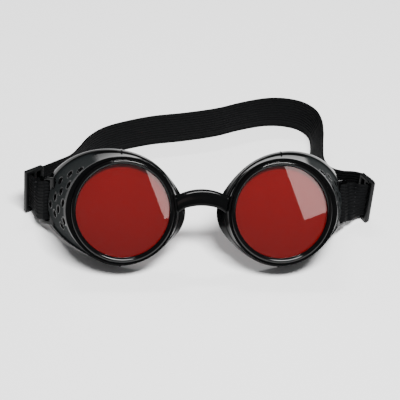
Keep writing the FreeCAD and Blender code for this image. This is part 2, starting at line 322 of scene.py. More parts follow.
def new_group(name: str, inputs: dict[str, float], outputs: Sequence[str]) -> bpy.types.NodeTree:
    """Start a shader node group with plain number sockets and one Place vector.

    Args:
        name: name of the group.
        inputs: number inputs and their defaults.
        outputs: number outputs.

    Returns:
        The group's tree, with its input and output sockets.
    """
    tree = bpy.data.node_groups.new(name, "ShaderNodeTree")
    tree.interface.new_socket("Place", in_out="INPUT", socket_type="NodeSocketVector")
    for key, value in inputs.items():
        socket = tree.interface.new_socket(key, in_out="INPUT", socket_type="NodeSocketFloat")
        socket.default_value = value
    for key in outputs:
        tree.interface.new_socket(key, in_out="OUTPUT", socket_type="NodeSocketFloat")
    return tree


def moulding_group() -> bpy.types.NodeTree:
    """Surface of injection-moulded plastic: slow ripple, fine grain and a few hairline scratches.

    Returns:
        A group that puts out a height from 0 to 1 and a roughness.
    """
    name = "moulded_surface"
    if name in bpy.data.node_groups:
        return bpy.data.node_groups[name]
    inputs = {"Ripple Scale": 60.0, "Grain Scale": 1500.0, "Grain Share": 0.3, "Smooth": 0.1, "Rough": 0.2}
    tree = new_group(name, inputs, ("Height", "Roughness", "Wear"))
    bench = NodeBench(tree)
    given = bench.add("NodeGroupInput").outputs
    ripple = bench.add("ShaderNodeTexNoise", {"Vector": given["Place"], "Scale": given["Ripple Scale"]})
    grain = bench.add(
        "ShaderNodeTexNoise",
        {"Vector": given["Place"], "Scale": given["Grain Scale"], "Detail": 3.0},
    )
    stretched = bench.add(
        "ShaderNodeMapping",
        {"Vector": given["Place"], "Rotation": (0.4, 0.3, 0.7), "Scale": (1.0, 14.0, 3.0)},
    )
    hairline = bench.add(
        "ShaderNodeTexNoise",
        {"Vector": stretched.outputs[0], "Scale": 160.0, "Detail": 5.0},
    )
    wear = bench.add(
        "ShaderNodeMapRange",
        {"Value": hairline.outputs["Fac"], "From Min": 0.68, "From Max": 0.76},
    ).outputs["Result"]
    grain_part = bench.math("MULTIPLY", grain.outputs["Fac"], given["Grain Share"])
    height = bench.math("ADD", ripple.outputs["Fac"], grain_part)
    patch = bench.add("ShaderNodeTexNoise", {"Vector": given["Place"], "Scale": 210.0, "Detail": 4.0})
    rough = bench.span(patch.outputs["Fac"], given["Smooth"], given["Rough"])
    rough = bench.math("ADD", rough, bench.math("MULTIPLY", wear, 0.12))
    bench.add("NodeGroupOutput", {"Height": height, "Roughness": rough, "Wear": wear})
    return tree


def dust_group() -> bpy.types.NodeTree:
    """Fine dust: sparse specks with a soft haze between them.

    Returns:
        A group that puts out the dust's share from 0 to 1.
    """
    name = "fine_dust"
    if name in bpy.data.node_groups:
        return bpy.data.node_groups[name]
    tree = new_group(name, {"Speck Scale": 1200.0, "Amount": 0.1}, ("Share",))
    bench = NodeBench(tree)
    given = bench.add("NodeGroupInput").outputs
    cell = bench.add("ShaderNodeTexVoronoi", {"Vector": given["Place"], "Scale": given["Speck Scale"]})
    near = bench.add(
        "ShaderNodeMapRange",
        {"Value": cell.outputs["Distance"], "From Min": 0.16, "From Max": 0.08},
    ).outputs["Result"]
    few = bench.add("ShaderNodeTexNoise", {"Vector": given["Place"], "Scale": 320.0, "Detail": 2.0})
    chosen = bench.math("GREATER_THAN", few.outputs["Fac"], 0.62)
    specks = bench.math("MULTIPLY", near, chosen)
    haze = bench.add("ShaderNodeTexNoise", {"Vector": given["Place"], "Scale": 45.0, "Detail": 6.0})
    share = bench.math("ADD", specks, bench.math("MULTIPLY", haze.outputs["Fac"], 0.35))
    bench.add("NodeGroupOutput", {"Share": bench.math("MULTIPLY", share, given["Amount"])})
    return tree


def new_material(name: str) -> tuple[bpy.types.Material, NodeBench, bpy.types.Node]:
    """Start a material with one Principled shader.

    Args:
        name: name of the material.

    Returns:
        The material, a bench on its tree and its shader.
    """
    material = bpy.data.materials.new(name)
    material.use_nodes = True
    shader = material.node_tree.nodes["Principled BSDF"]
    return material, NodeBench(material.node_tree), shader


def dress(piece: bpy.types.Object, material: bpy.types.Material) -> None:
    """Give a piece one material in place of what it has."""
    piece.data.materials.clear()
    piece.data.materials.append(material)


@dataclass(frozen=True)
class MouldedFinish:
    """Moulded black plastic or rubber, with an optional satin side shield.

    The shield's look is mixed in where the piece's own "shield" mark is 1.
    """

    name: str
    colour: tuple[float, float, float]
    smooth: float
    rough: float
    grain_share: float = 0.05
    relief: float = 0.02
    ripple_scale: float = 60.0
    grain_scale: float = 1500.0
    dust: float = 0.02
    gloss: float = 0.5
    shield: bool = False
    shield_colour: tuple[float, float, float] = (0.008, 0.0098, 0.0101)
    shield_smooth: float = 0.55
    shield_rough: float = 0.72
    shield_gloss_share: float = 0.3

    def material(self) -> bpy.types.Material:
        """Build the material."""
        material, bench, shader = new_material(self.name)
        place = bench.add("ShaderNodeTexCoord").outputs["Object"]
        surface = bench.add("ShaderNodeGroup", node_tree=moulding_group())
        dusty = bench.add("ShaderNodeGroup", node_tree=dust_group())
        for node in (surface, dusty):
            bench.tree.links.new(place, node.inputs["Place"])
        surface.inputs["Ripple Scale"].default_value = self.ripple_scale
        surface.inputs["Grain Scale"].default_value = self.grain_scale
        surface.inputs["Grain Share"].default_value = self.grain_share
        surface.inputs["Smooth"].default_value = self.smooth
        surface.inputs["Rough"].default_value = self.rough
        dusty.inputs["Amount"].default_value = self.dust
        tone = bench.noise(place, 90.0, 5.0)
        deep = tuple(0.75 * value for value in self.colour) + (1.0,)
        light = tuple(1.3 * value for value in self.colour) + (1.0,)
        colour = bench.blend(tone, deep, light)
        rough = surface.outputs["Roughness"]
        height = surface.outputs["Height"]
        if self.shield:
            mark = bench.add("ShaderNodeAttribute", attribute_name="shield").outputs["Fac"]
            grain = bench.noise(place, 1900.0, 4.0)
            shade = tuple(0.7 * value for value in self.shield_colour) + (1.0,)
            bright = tuple(1.35 * value for value in self.shield_colour) + (1.0,)
            colour = bench.blend(mark, colour, bench.blend(grain, shade, bright))
            satin = bench.span(grain, self.shield_smooth, self.shield_rough)
            gap = bench.math("SUBTRACT", satin, rough)
            rough = bench.math("ADD", rough, bench.math("MULTIPLY", gap, mark))
            height = bench.math("ADD", height, bench.math("MULTIPLY", grain, mark))
        colour = bench.blend(dusty.outputs["Share"], colour, (0.2, 0.2, 0.2, 1.0))
        bump = bench.add("ShaderNodeBump", {"Height": height, "Strength": self.relief, "Distance": MM})
        links = {"Base Color": colour, "Roughness": rough, "Normal": bump.outputs["Normal"]}
        for key, value in links.items():
            bench.tree.links.new(value, shader.inputs[key])
        shader.inputs["Specular IOR Level"].default_value = self.gloss
        if self.shield:
            level = bench.span(mark, self.gloss, self.shield_gloss_share * self.gloss)
            bench.tree.links.new(level, shader.inputs["Specular IOR Level"])
        return material


@dataclass(frozen=True)
class TintedGlass:
    """Polished red filter glass."""

    name: str = "red_filter_glass"
    # The red goes from deep to bright over a span of depth along Y, in metres: painted shade, darker towards
    # the table.
    deep: tuple[float, float, float, float] = (0.1, 0.0, 0.0, 1.0)
    bright: tuple[float, float, float, float] = (0.2, 0.0, 0.0, 1.0)
    shade_fade_low: float = -0.075
    shade_fade_high: float = -0.03

    def material(self) -> bpy.types.Material:
        """Build the material: painted shade makes the red deeper towards the table; faint smears on the
        polish.
        """
        material, bench, shader = new_material(self.name)
        place = bench.add("ShaderNodeTexCoord").outputs["Object"]
        # Painted shade: the lens is drawn deeper red towards the table, from its depth along Y.
        depth = bench.add("ShaderNodeSeparateXYZ", {0: place}).outputs["Y"]
        rise = bench.add(
            "ShaderNodeMapRange",
            {"Value": depth, "From Min": self.shade_fade_low, "From Max": self.shade_fade_high},
        ).outputs["Result"]
        cloud = bench.noise(place, 30.0, 3.0)
        share = bench.math("ADD", bench.math("MULTIPLY", rise, 0.85), bench.math("MULTIPLY", cloud, 0.15))
        colour = bench.blend(share, self.deep, self.bright)
        smear = bench.noise(place, 140.0, 6.0)
        rough = bench.span(smear, 0.005, 0.015)
        bench.tree.links.new(colour, shader.inputs["Base Color"])
        bench.tree.links.new(rough, shader.inputs["Roughness"])
        shader.inputs["IOR"].default_value = 1.52
        shader.inputs["Transmission Weight"].default_value = 0.05
        return material


@dataclass(frozen=True)
class CoverGlass:
    """Thin clear cover glass: a mirror-like film that lets most light straight through."""

    name: str = "clear_cover_glass"
    smear_low: float = 0.003
    smear_high: float = 0.02

    def material(self) -> bpy.types.Material:
        """Build the material; its alpha follows the glass's Fresnel reflection."""
        material, bench, shader = new_material(self.name)
        place = bench.add("ShaderNodeTexCoord").outputs["Object"]
        smear = bench.noise(place, 120.0, 6.0)
        rough = bench.span(smear, self.smear_low, self.smear_high)
        film = bench.add("ShaderNodeFresnel", {"IOR": 1.5}).outputs["Fac"]
        speck = bench.add("ShaderNodeGroup", node_tree=dust_group())
        bench.tree.links.new(place, speck.inputs["Place"])
        speck.inputs["Amount"].default_value = 0.03
        alpha = bench.math("ADD", film, speck.outputs["Share"])
        bench.tree.links.new(rough, shader.inputs["Roughness"])
        bench.tree.links.new(alpha, shader.inputs["Alpha"])
        shader.inputs["Base Color"].default_value = (0.95, 0.96, 0.96, 1.0)
        shader.inputs["Metallic"].default_value = 1.0
        return material


@dataclass(frozen=True)
class WovenElastic:
    """Black ribbed elastic: fine cross threads over its ribs, painted shade darkening the grooves between
    them, and lint specks all over.
    """

    name: str = "black_elastic"
    colour: tuple[float, float, float] = (0.0013, 0.0015, 0.0018)
    thread_pitch: float = 0.55
    relief: float = 0.35

    def material(self) -> bpy.types.Material:
        """Build the material from the strap's own run, across and rib marks."""
        material, bench, shader = new_material(self.name)
        place = bench.add("ShaderNodeTexCoord").outputs["Object"]
        run = bench.add("ShaderNodeAttribute", attribute_name="run").outputs["Fac"]
        across = bench.add("ShaderNodeAttribute", attribute_name="across").outputs["Fac"]
        rib = bench.add("ShaderNodeAttribute", attribute_name="rib").outputs["Fac"]
        slant = bench.math("ADD", run, bench.math("MULTIPLY", across, 0.6))
        wave = bench.math("SINE", bench.math("MULTIPLY", slant, TURN / self.thread_pitch))
        thread = bench.add("ShaderNodeMapRange", {"Value": wave, "From Min": -1.0}).outputs["Result"]
        fuzz = bench.noise(place, 2600.0, 4.0)
        dark = tuple(0.5 * value for value in self.colour) + (1.0,)
        light = tuple(1.9 * value for value in self.colour) + (1.0,)
        tone = bench.math("MULTIPLY", bench.math("ADD", thread, fuzz), 0.5)
        # Painted shade: the colour drops to the dark tone in the grooves between the ribs, and the threads
        # show only on the rib tops.
        raised = bench.math("MULTIPLY", tone, bench.math("POWER", rib, 2.0))
        colour = bench.blend(raised, dark, light)
        lint = bench.add("ShaderNodeGroup", node_tree=dust_group())
        bench.tree.links.new(place, lint.inputs["Place"])
        lint.inputs["Speck Scale"].default_value = 1500.0
        lint.inputs["Amount"].default_value = 0.012
        colour = bench.blend(lint.outputs["Share"], colour, (0.12, 0.12, 0.12, 1.0))
        height = bench.math("ADD", bench.math("MULTIPLY", thread, 0.7), fuzz)
        bump = bench.add(
            "ShaderNodeBump", {"Height": height, "Strength": self.relief, "Distance": 0.15 * MM}
        )
        rough = bench.span(fuzz, 0.62, 0.85)
        for key, value in (("Base Color", colour), ("Roughness", rough), ("Normal", bump.outputs["Normal"])):
            bench.tree.links.new(value, shader.inputs[key])
        shader.inputs["Specular IOR Level"].default_value = 0.08
        shader.inputs["Sheen Weight"].default_value = 0.004
        shader.inputs["Sheen Roughness"].default_value = 0.4
        return material


# ---------------------------------------------------------------- the moulding's shape


@dataclass(frozen=True)
class CupShape:
    """Sizes of a cup of the moulding, in millimetres, about the right lens axis."""

    lens_x: float = 40.0
    collar_radius: float = 27.1
    collar_front: float = 0.5
    wall: float = 2.2
    temple_step: float = 0.12
    rim_width: float = 4.2
    proud_temple: float = 0.9
    proud_nose: float = 0.25
    face_radius: float = 95.0
    face_centre_x: float = 12.0
    face_front: float = 8.5
    rim_base_radius: float = 28.2
    rim_lobes: tuple = ((0.0, 11.4, 64.0, 38.0), (185.0, 4.0, 28.0, 28.0), (275.0, 1.2, 25.0, 25.0))
    socket_radius: float = 26.05
    socket_depth: float = 5.7
    eye_radius: float = 23.2
    ledge_back: float = 7.8

    def outline(self, turn: float) -> float:
        """Radius of the rear edge at a turn in radians; 0 points to the temple."""
        angle = math.degrees(turn)
        radius = self.rim_base_radius
        for direction, height, above, below in self.rim_lobes:
            away = (angle - direction + 180.0) % 360.0 - 180.0
            radius += height * math.exp(-((away / (above if away > 0.0 else below)) ** 2))
        return radius

    def temple(self, turn: float) -> float:
        """1 towards the temple, 0 towards the nose."""
        return (1.0 + math.cos(turn)) / 2.0

    def proud(self, turn: float) -> float:
        """How far the rear band stands out of the wall."""
        return self.proud_nose + (self.proud_temple - self.proud_nose) * self.temple(turn)

    def face_depth(self, x: float) -> float:
        """Depth of the rear edge at a distance x from the middle of the face."""
        across = min(abs(x - self.face_centre_x), self.face_radius - 1.0)
        return self.face_front + self.face_radius - math.sqrt(self.face_radius**2 - across**2)

    def edge_depth(self, turn: float, radius: float) -> float:
        """Depth of the rear face at a turn and a radius."""
        return self.face_depth(self.lens_x + radius * math.cos(turn))

    def wall_radius(self, turn: float, depth: float) -> float:
        """Outer radius of the wall at a turn and a depth."""
        edge = self.outline(turn) - self.proud(turn)
        reach = self.edge_depth(turn, edge) - self.collar_front
        share = max(0.0, min((depth - self.collar_front) / reach, 1.08))
        weight = self.temple(turn)
        step = self.temple_step
        flare = weight * (step + (1.0 - step) * share) + (1.0 - weight) * share**1.5
        return self.collar_radius + (edge - self.collar_radius) * flare

    def band_front(self, turn: float) -> float:
        """Depth at which the raised rear band starts."""
        radius = self.outline(turn) - self.proud(turn)
        depth = 0.0
        for _ in range(4):
            depth = self.edge_depth(turn, radius) - self.rim_width
            radius = self.wall_radius(turn, depth)
        return depth

    def at(self, turn: float, radius: float, depth: float) -> Vector:
        """Point of the right cup."""
        x = self.lens_x + radius * math.cos(turn)
        return Vector((x, depth, radius * math.sin(turn)))


class WornPose:
    """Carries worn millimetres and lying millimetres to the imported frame."""

    def __init__(self, lean_deg: float = 35.0, lens_height: float = 32.663) -> None:
        """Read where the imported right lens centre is."""
        self.lean = math.radians(lean_deg)
        self.lens_height = lens_height
        joints = {joint["name"]: joint for joint in frame["joints"]}
        self.lens_centre = Vector(joints["right_ring_turn"]["pos_m"])

    def worn(self, hand: Hand = Hand.RIGHT) -> Matrix:
        """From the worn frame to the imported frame; the left hand is mirrored."""
        centre = Matrix.Translation(self.lens_centre)
        lean = Matrix.Rotation(-self.lean, 4, "X")
        back = Matrix.Translation((-CupShape().lens_x * MM, 0.0, 0.0))
        scale = Matrix.Diagonal((hand.value * MM, MM, MM, 1.0))
        return centre @ lean @ back @ scale

    def lying(self) -> Matrix:
        """From the lying frame, before its origin was moved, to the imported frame."""
        shift = self.lens_centre - Vector((CupShape().lens_x, 0.0, self.lens_height)) * MM
        return Matrix.Translation(shift) @ Matrix.Diagonal((MM, MM, MM, 1.0))

    def lie(self, point: Sequence[float]) -> Vector:
        """A worn point in the lying frame, both in millimetres."""
        leant = Matrix.Rotation(-self.lean, 3, "X") @ Vector(point)
        return leant + Vector((0.0, 0.0, self.lens_height))


@dataclass(frozen=True)
class LugBar:
    """Bar at each temple that the strap loops round, in worn millimetres for the right hand."""

    middle: float = 1.7
    front: float = 32.2
    back: float = 37.0
    outer: float = 78.1
    slope: float = 0.6
    thickness: float = 3.1


@dataclass
class Moulding:
    """The one-piece moulding: two vented cups, their strap lugs, ridges and the nose bridge."""

    pose: WornPose
    shape: CupShape = field(default_factory=CupShape)
    sides: int = 240
    wall_rows: int = 14
    vent_radius: float = 1.6
    vent_mouth: float = 0.7
    vent_rows: tuple = (
        (5.6, (43.0, 24.7, 6.3, -11.5)),
        (12.3, (33.3, 15.5, -1.1, -17.3)),
        (18.8, (23.4, 8.4, -6.3)),
        (24.9, (16.9, 1.0)),
    )
    vent_slope: float = 0.36
    shield_top: float = 66.0
    shield_bottom: float = -60.0
    shield_fade: float = 8.0
    bar: LugBar = field(default_factory=LugBar)
    lug_half: float = 12.2
    lug_front: float = 25.0
    slot_half: float = 10.5
    slot_front: float = 28.7

    def section(self, turn: float) -> list[tuple[float, float, float]]:
        """Closed section of the wall at one turn, as (radius, depth, shield) rows."""
        shape = self.shape
        front = shape.collar_front
        lip = shape.wall_radius(turn, front)
        band = shape.band_front(turn)
        proud = shape.proud(turn)
        rim = shape.outline(turn)
        low = front + 0.3
        rows = [(shape.socket_radius + 0.12, front, 0.0)]
        rows += [(lip - 0.3, front, 0.0), (lip - 0.05, front + 0.08, 0.0)]
        for row in range(self.wall_rows + 1):
            depth = low + (band - 0.15 - low) * row / self.wall_rows
            rows.append((shape.wall_radius(turn, depth), depth, min(1.0, row / 2.0)))
        for share, back in ((0.1, 0.0), (0.5, 0.1), (0.88, 0.26), (1.0, 0.55)):
            depth = band + back
            rows.append((shape.wall_radius(turn, depth) + share * proud, depth, 1.0 - share))
        rear = shape.edge_depth(turn, rim)
        start = band + 0.55
        for share in (0.3, 0.6, 0.88):
            depth = start + (rear - start) * share
            rows.append((shape.wall_radius(turn, depth) + proud, depth, 0.0))
        rows.append((rim - 0.12, rear - 0.14, 0.0))
        rows.append((rim - 0.5, shape.edge_depth(turn, rim - 0.5), 0.0))
        inner = rim - proud - shape.wall
        rows.append((inner + 0.25, shape.edge_depth(turn, inner + 0.25), 0.0))
        inner_rear = shape.edge_depth(turn, inner)
        for row in range(6):
            depth = inner_rear - 0.3 + (shape.ledge_back + 0.1 - inner_rear + 0.3) * row / 5.0
            rows.append((shape.wall_radius(turn, depth) - shape.wall, depth, 0.0))
        eye = shape.eye_radius
        rows += [(eye + 0.3, shape.ledge_back, 0.0), (eye, shape.ledge_back - 0.3, 0.0)]
        rows += [(eye, shape.socket_depth + 0.1, 0.0), (eye + 0.1, shape.socket_depth, 0.0)]
        rows += [(shape.socket_radius - 0.05, shape.socket_depth, 0.0)]
        rows += [(shape.socket_radius, shape.socket_depth - 0.1, 0.0)]
        rows += [(shape.socket_radius, front + 0.12, 0.0)]
        rows.append(rows[0])
        return rows

    def shield_share(self, turn: float) -> float:
        """1 where the side shield is, fading out above and below the temple."""
        angle = (math.degrees(turn) + 180.0) % 360.0 - 180.0
        above = max(0.0, min(1.0, (self.shield_top - angle) / self.shield_fade))
        below = max(0.0, min(1.0, (angle - self.shield_bottom) / self.shield_fade))
        return above * below

    def vent_cutters(self) -> list[bpy.types.Object]:
        """Straight cutters and flared mouths of the vents, as two joined objects."""
        bores = []
        mouths = []
        for depth, angles in self.vent_rows:
            for angle in angles:
                turn = math.radians(angle)
                place = self.shape.at(turn, self.shape.wall_radius(turn, depth), depth)
                away = Vector((math.cos(turn), -self.vent_slope, math.sin(turn))).normalized()
                aim = away.to_track_quat("Z", "Y").to_euler()
                deselect_all()
                bpy.ops.mesh.primitive_cylinder_add(
                    vertices=28, radius=self.vent_radius, depth=7.0, location=place, rotation=aim
                )
                bores.append(bpy.context.object)
                deselect_all()
                bpy.ops.mesh.primitive_cone_add(
                    vertices=28,
                    radius1=self.vent_radius - 0.2,
                    radius2=self.vent_radius + self.vent_mouth + 0.55,
                    depth=1.5,
                    location=place - away * 0.1,
                    rotation=aim,
                )
                mouths.append(bpy.context.object)
        cutters = [joined("vent_bores", bores), joined("vent_mouths", mouths)]
        for cutter in cutters:
            select_only(cutter)
            bpy.ops.object.transform_apply(location=True, rotation=True, scale=True)
        return cutters

    def slot_cutter(self) -> bpy.types.Object:
        """Box of the strap slot."""
        low = self.bar.middle - self.slot_half
        high = self.bar.middle + self.slot_half
        return block((70.0, self.slot_front, low), (86.0, self.bar.front, high))

    def cup(self, name: str) -> bpy.types.Object:
        """One cup with its vents and strap slot cut, about the right lens axis."""
        sections: dict[int, list] = {}

        def section_at(turn: float) -> list[tuple[float, float, float]]:
            """Section at a turn, worked out once."""
            key = round(turn / TURN * self.sides)
            if key not in sections:
                sections[key] = self.section(turn)
            return sections[key]

        def place(station: int, turn: float) -> Vector:
            """Corner of the cup."""
            radius, depth, _ = section_at(turn)[station]
            return self.shape.at(turn, radius, depth)

        def shield(station: int, turn: float) -> float:
            """Share of the satin finish."""
            return section_at(turn)[station][2] * self.shield_share(turn)

        stations = len(self.section(0.0))
        piece = swept(name, self.sides, stations, place, Weld.TO_START, {"shield": shield})
        for cutter in self.vent_cutters() + [self.slot_cutter()]:
            cut(piece, cutter)
        return piece

    def lug(self, name: str) -> bpy.types.Object:
        """Slanted block at the temple with the strap slot and the bar behind it."""
        low = self.bar.middle - self.lug_half
        high = self.bar.middle + self.lug_half
        piece = block((-0.5, self.lug_front, low), (0.5, self.bar.back, high))
        piece.name = name
        for vert in piece.data.vertices:
            outer = self.bar.outer + self.bar.slope * (vert.co.y - self.bar.front)
            vert.co.x = outer if vert.co.x > 0.0 else outer - self.bar.thickness
        cut(piece, self.slot_cutter())
        deselect_all()
        shape = self.shape
        bpy.ops.mesh.primitive_cylinder_add(
            vertices=256,
            radius=shape.face_radius,
            depth=120.0,
            location=(shape.face_centre_x, shape.face_front + shape.face_radius, 0.0),
        )
        cut(piece, bpy.context.object)
        apply_modifier(piece, "BEVEL", width=0.45, segments=3, limit_method="ANGLE")
        return piece

    def ridges(self, name: str) -> bpy.types.Object:
        """Raised mould parting ridges over the top and under the bottom of a cup's rear band."""
        parts = []
        shape = self.shape
        for turn, long_share in ((math.radians(89.0), 0.9), (math.radians(271.0), 0.8)):
            front = shape.band_front(turn) - 0.2
            back = shape.edge_depth(turn, shape.outline(turn)) - 0.3
            half = (back - front) / 2.0 * long_share
            piece = block((-0.4, -half, -0.5), (0.4, half, 0.5))
            slope = shape.wall_radius(turn, back) - shape.wall_radius(turn, front)
            middle = (front + back) / 2.0
            radius = shape.wall_radius(turn, middle) + shape.proud(turn) - 0.12
            tip = Matrix.Rotation(math.atan2(slope, back - front), 4, "X")
            spin = Matrix.Rotation(math.pi / 2.0 - turn, 4, "Y")
            piece.data.transform(Matrix.Translation(shape.at(turn, radius, middle)) @ spin @ tip)
            parts.append(piece)
        piece = joined(name, parts)
        apply_modifier(piece, "BEVEL", width=0.22, segments=3, limit_method="ANGLE")
        return piece

    def bridge(self) -> bpy.types.Object:
        """Arched nose bridge: a rounded bar that widens into each cup."""
        half_width = 15.0
        stations = 41
        top_middle = 10.9
        drop = 4.6
        thickness = 8.4
        front = 2.6
        back = 7.6
        radius = (half_width**2 + drop**2) / (2.0 * drop)

        def place(station: int, turn: float) -> Vector:
            """Corner of the bar: a rounded oblong section along the arch."""
            x = -half_width + 2.0 * half_width * station / (stations - 1)
            top = top_middle - radius + math.sqrt(radius**2 - x**2)
            swell = max(0.0, (abs(x) - 8.0) / 7.0) ** 2
            tall = thickness / 2.0 + 1.6 * swell
            deep = (back - front) / 2.0
            power = 0.55
            cosine = math.cos(turn)
            sine = math.sin(turn)
            y = math.copysign(abs(cosine) ** power, cosine) * deep
            z = math.copysign(abs(sine) ** power, sine) * tall
            return Vector((x, (front + back) / 2.0 + y, top - thickness / 2.0 - 1.6 * swell + z))

        return swept("nose_bridge", 48, stations, place, Weld.CAPS)

    def build(self, finish: bpy.types.Material) -> None:
        """Model every piece of the moulding and dress it."""
        for hand in Hand:
            for part, make in (("cup", self.cup), ("strap_lug", self.lug), ("parting_ridges", self.ridges)):
                piece = make(hand.prefix + part)
                finish_shape(piece, self.pose.worn(hand), 40.0)
                dress(piece, finish)
                kept(piece, "frame", "frame_plastic", "goggle_frame")
        piece = self.bridge()
        finish_shape(piece, self.pose.worn(), 60.0)
        dress(piece, finish)
        kept(piece, "frame", "frame_plastic", "goggle_frame")


@dataclass
class FaceSeal:
    """Soft lip along the rear edge of a cup, open at the strap lug."""

    pose: WornPose
    shape: CupShape = field(default_factory=CupShape)
    thickness: float = 1.5
    gap_middle: float = 1.7
    gap_half: float = 13.2
    stations: int = 200

    def gap_turns(self) -> tuple[float, float]:
        """Turns, in radians, at which the lip starts above the lug and ends below it."""
        above = 0.0
        below = 0.0
        while self.shape.outline(above) * math.sin(above) < self.gap_middle + self.gap_half:
            above += 0.002
        while self.shape.outline(below) * math.sin(below) > self.gap_middle - self.gap_half:
            below -= 0.002
        return above, below + TURN

    def build(self, finish: bpy.types.Material) -> None:
        """Model both lips and dress them."""
        start, end = self.gap_turns()
        shape = self.shape

        def place(station: int, corner: float) -> Vector:
            """Corner of the lip's rounded section."""
            turn = start + (end - start) * station / (self.stations - 1)
            edge = shape.outline(turn) - shape.proud(turn)
            outer = edge + 0.1
            inner = edge - shape.wall + 0.2
            across = math.copysign(abs(math.cos(corner)) ** 0.7, math.cos(corner))
            radius = (outer + inner) / 2.0 + across * (outer - inner) / 2.0
            rise = math.copysign(abs(math.sin(corner)) ** 0.7, math.sin(corner))
            depth = shape.edge_depth(turn, radius) + (1.0 + rise) / 2.0 * self.thickness - 0.02
            return shape.at(turn, radius, depth)

        for hand in Hand:
            node = hand.prefix + "face_seal"
            piece = swept(hand.prefix + "soft_lip", 20, self.stations, place, Weld.CAPS)
            finish_shape(piece, self.pose.worn(hand), 60.0)
            dress(piece, finish)
            kept(piece, "frame", "seal_rubber", node)


# ---------------------------------------------------------------- lenses and rings


@dataclass
class LensStack:
    """Screw-in ring, cover glass, filter glass and gasket of each eye."""

    pose: WornPose
    sides: int = 180
    ring_rows: tuple = (
        (23.4, 1.2), (23.4, 0.45), (23.46, 0.2), (23.68, -0.22), (24.05, -0.6), (24.45, -0.83),
        (24.8, -0.9), (25.15, -0.83), (25.5, -0.6), (25.78, -0.22), (25.94, 0.15), (25.98, 0.45),
        (25.98, 4.1), (25.88, 4.2), (25.25, 4.2), (25.15, 4.1), (25.15, 1.25), (25.05, 1.2),
    )
    cover_rows: tuple = (
        (0.0, 1.25), (12.0, 1.25), (24.7, 1.25), (24.85, 1.3), (24.9, 1.45),
        (24.9, 2.5), (24.85, 2.65), (24.7, 2.7), (12.0, 2.7), (0.0, 2.7),
    )
    filter_rows: tuple = (
        (0.0, 2.75), (12.0, 2.75), (24.7, 2.75), (24.85, 2.8), (24.9, 2.95),
        (24.9, 4.5), (24.85, 4.65), (24.7, 4.7), (12.0, 4.7), (0.0, 4.7),
    )
    gasket_rows: tuple = (
        (23.4, 4.85), (23.5, 4.76), (24.8, 4.76), (24.9, 4.85), (24.9, 5.55),
        (24.8, 5.64), (23.5, 5.64), (23.4, 5.55),
    )

    def turned(self, name: str, rows: Sequence[tuple[float, float]], weld: Weld) -> bpy.types.Object:
        """Turn a row of (radius, depth) points about the right lens axis."""
        shape = CupShape()
        path = list(rows) + ([rows[0]] if weld is Weld.TO_START else [])

        def place(station: int, turn: float) -> Vector:
            """Corner of the turned piece."""
            radius, depth = path[station]
            return shape.at(turn, radius, depth)

        return swept(name, self.sides, len(path), place, weld)

    def build(
        self,
        ring: bpy.types.Material,
        cover: bpy.types.Material,
        tint: bpy.types.Material,
        gasket: bpy.types.Material,
    ) -> None:
        """Model and dress the pieces of both eyes."""
        loop = Weld.TO_START
        disc = Weld.POLES
        plans = (
            ("screw_ring", self.ring_rows, loop, ring, "ring", "ring_plastic", "lens_ring"),
            ("cover_glass", self.cover_rows, disc, cover, "lens_pack", "clear_glass", "clear_lens"),
            ("filter_glass", self.filter_rows, disc, tint, "lens_pack", "red_glass", "tinted_lens"),
            ("lens_washer", self.gasket_rows, loop, gasket, "lens_pack", "gasket_rubber", "lens_gasket"),
        )
        for hand in Hand:
            for part, rows, weld, finish, body, slot, node in plans:
                piece = self.turned(hand.prefix + part, rows, weld)
                finish_shape(piece, self.pose.worn(hand), 15.0 if weld is Weld.POLES else 40.0)
                dress(piece, finish)
                kept(piece, hand.prefix + body, slot, hand.prefix + node)


# ---------------------------------------------------------------- strap, sliders and stitching


@dataclass(frozen=True)
class StrapEnd:
    """What differs between the strap's two ends: its slider's place and the loose band's start."""

    hand: Hand
    slot: tuple[float, float]
    along: tuple[float, float]
    band: tuple[float, float]


STRAP_ENDS = (
    StrapEnd(Hand.LEFT, (-85.8, 38.4), (0.81, 0.58), (-80.0, 45.6)),
    StrapEnd(Hand.RIGHT, (92.3, 33.2), (-0.42, 0.907), (91.5, 42.0)),
)


def upright(lean_x: float, lean_y: float) -> Vector:
    """Unit vector of the strap's width for a given lean of its upper edge."""
    return Vector((lean_x, lean_y, 1.0)).normalized()


